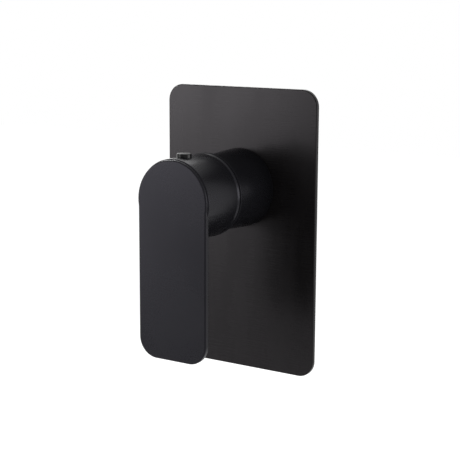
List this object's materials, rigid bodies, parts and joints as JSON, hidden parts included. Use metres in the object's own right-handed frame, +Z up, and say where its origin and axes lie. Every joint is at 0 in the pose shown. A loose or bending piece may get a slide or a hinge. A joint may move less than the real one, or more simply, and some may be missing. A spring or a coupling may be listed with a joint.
{
  "type": "concealed single-lever shower mixer",
  "caption": "In-wall shower mixer with a flat rounded plate, a round sleeve and a drum handle with a thin hanging paddle that turns and lifts.",
  "frame": {"origin": "centre of the in-wall body's flat back face, on the cartridge axis", "axes": "+Z up, -Y out of the wall towards the user, +X to the user's right; the finished wall is the plane Y = -0.027"},
  "size_m": [0.11, 0.1037, 0.18],
  "materials": {
    "faceplate": "matt black coat on pressed sheet",
    "plate_gasket": "closed-cell foam rubber",
    "sleeve": "matt black coat on turned brass",
    "sleeve_seal": "matt",
    "neck_seal": "matt",
    "valve_body": "cast and machined, unplated",
    "cartridge_nut": "machined",
    "cartridge_housing": "moulded",
    "cartridge_base": "moulded",
    "base_seals": "matt",
    "fixed_disc": "lapped",
    "disc_seals": "matt",
    "moving_disc": "lapped",
    "disc_carrier": "moulded",
    "rotor": "moulded",
    "stop_ring": "moulded",
    "lever_pin": "ground",
    "lever": "machined",
    "grub_screw": "blackened",
    "handle": "matt black coat on a cast handle",
    "index_cap": "satin black"
  },
  "bodies": {
    "base": {"faceplate": "faceplate", "plate_gasket": "plate_gasket", "sleeve": "sleeve", "sleeve_seal": "sleeve_seal", "neck_seal": "neck_seal", "valve_body": "valve_body", "cartridge_nut": "cartridge_nut", "cartridge_housing": "cartridge_housing", "cartridge_base": "cartridge_base", "base_seals": "base_seals", "fixed_disc": "fixed_disc", "disc_seals": "disc_seals", "stop_ring": "stop_ring"},
    "rotor": {"rotor": "rotor", "lever_pin": "lever_pin"},
    "handle": {"lever": "lever", "grub_screw": "grub_screw", "handle": "handle", "index_cap": "index_cap"},
    "disc": {"moving_disc": "moving_disc", "disc_carrier": "disc_carrier"}
  },
  "joints": [
    {"name": "temperature", "type": "hinge", "parent": "base", "child": "rotor", "pos_m": [0, -0.0573, 0], "axis": [0, 1, 0], "range_deg": [-50, 50]},
    {"name": "flow", "type": "hinge", "parent": "rotor", "child": "handle", "pos_m": [0, -0.0573, 0], "axis": [-1, 0, 0], "range_deg": [0, 25]},
    {"name": "disc_slide", "type": "slide", "parent": "rotor", "child": "disc", "axis": [0, 0, -1], "range_m": [0, 0.0039]}
  ],
  "couplings": [
    {"joint": "disc_slide", "follows": "flow", "m_per_rad": 0.008929}
  ]
}
